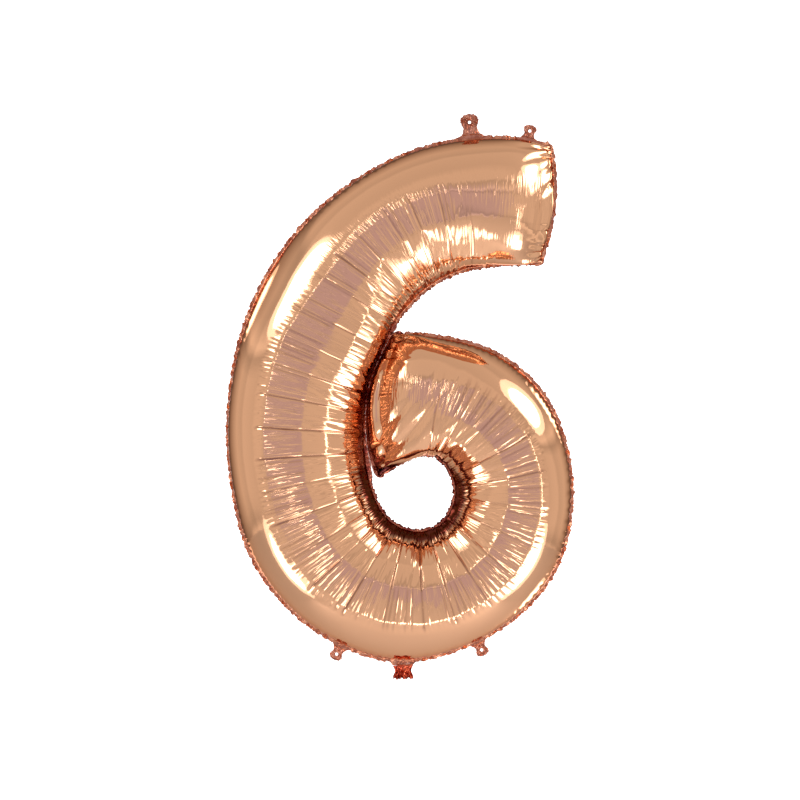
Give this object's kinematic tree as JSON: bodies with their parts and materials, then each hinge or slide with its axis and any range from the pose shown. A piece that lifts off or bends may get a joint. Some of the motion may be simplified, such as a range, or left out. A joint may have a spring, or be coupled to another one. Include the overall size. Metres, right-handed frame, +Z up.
{
  "type": "foil number balloon",
  "caption": "Inflated foil balloon in the shape of the figure six, with heat-sealed edges, folding hanging tabs and an inflation neck with a self-sealing film valve.",
  "frame": {"origin": "bottom of the inflation neck, midway across the figure, on the plane of the seams", "axes": "+Z up the figure, +X to the right as the six is read, -Y towards the viewer"},
  "size_m": [0.5672, 0.1978, 0.919],
  "materials": {
    "foil_film": "mirror-bright rose-gold metallised film, crinkled along its seams",
    "foil_seal": "same film heat-sealed flat, finely puckered and darker",
    "valve_film": "clear polyethylene film"
  },
  "bodies": {
    "balloon": {"front_panel": "foil_film", "back_panel": "foil_film", "outer_seam": "foil_seal", "counter_seam": "foil_seal", "valve_seam_sleeve": "valve_film"},
    "hang_tab_top_left": {"hang_tab_top_left": "foil_seal"},
    "hang_tab_top_right": {"hang_tab_top_right": "foil_seal"},
    "hang_tab_bottom_left": {"hang_tab_bottom_left": "foil_seal"},
    "hang_tab_bottom_right": {"hang_tab_bottom_right": "foil_seal"},
    "neck": {"neck_front": "foil_seal", "neck_back": "foil_seal", "valve_neck_sleeve": "valve_film"},
    "valve_flap_front": {"valve_flap_front": "valve_film"},
    "valve_flap_back": {"valve_flap_back": "valve_film"}
  },
  "joints": [
    {"name": "top_left_tab_fold", "type": "hinge", "parent": "balloon", "child": "hang_tab_top_left", "pos_m": [0.11464, 0, 0.88528], "axis": [-0.9926, 0, -0.1211], "range_deg": [-80, 80]},
    {"name": "top_right_tab_fold", "type": "hinge", "parent": "balloon", "child": "hang_tab_top_right", "pos_m": [0.20781, 0, 0.88041], "axis": [-0.9738, 0, 0.2275], "range_deg": [-80, 80]},
    {"name": "bottom_left_tab_fold", "type": "hinge", "parent": "balloon", "child": "hang_tab_bottom_left", "pos_m": [-0.09888, 0, 0.05031], "axis": [0.8929, 0, -0.4503], "range_deg": [-80, 80]},
    {"name": "bottom_right_tab_fold", "type": "hinge", "parent": "balloon", "child": "hang_tab_bottom_right", "pos_m": [0.12729, 0, 0.05718], "axis": [0.9015, 0, 0.4329], "range_deg": [-80, 80]},
    {"name": "neck_fold", "type": "hinge", "parent": "balloon", "child": "neck", "pos_m": [0.00395, 0, 0.02233], "axis": [0.9997, 0, 0.0241], "range_deg": [-85, 85]},
    {"name": "valve_front_open", "type": "hinge", "parent": "balloon", "child": "valve_flap_front", "pos_m": [0.00363, -0.00045, 0.03568], "axis": [0.9997, 0, 0.0241], "range_deg": [0, 12], "stiffness_Nm_per_rad": 0.0002, "springref_deg": -11.46},
    {"name": "valve_back_open", "type": "hinge", "parent": "balloon", "child": "valve_flap_back", "pos_m": [0.00363, 0.00045, 0.03568], "axis": [0.9997, 0, 0.0241], "range_deg": [-12, 0], "stiffness_Nm_per_rad": 0.0002, "springref_deg": 11.46}
  ],
  "couplings": [
    {"joint": "valve_back_open", "follows": "valve_front_open", "ratio": -1}
  ]
}
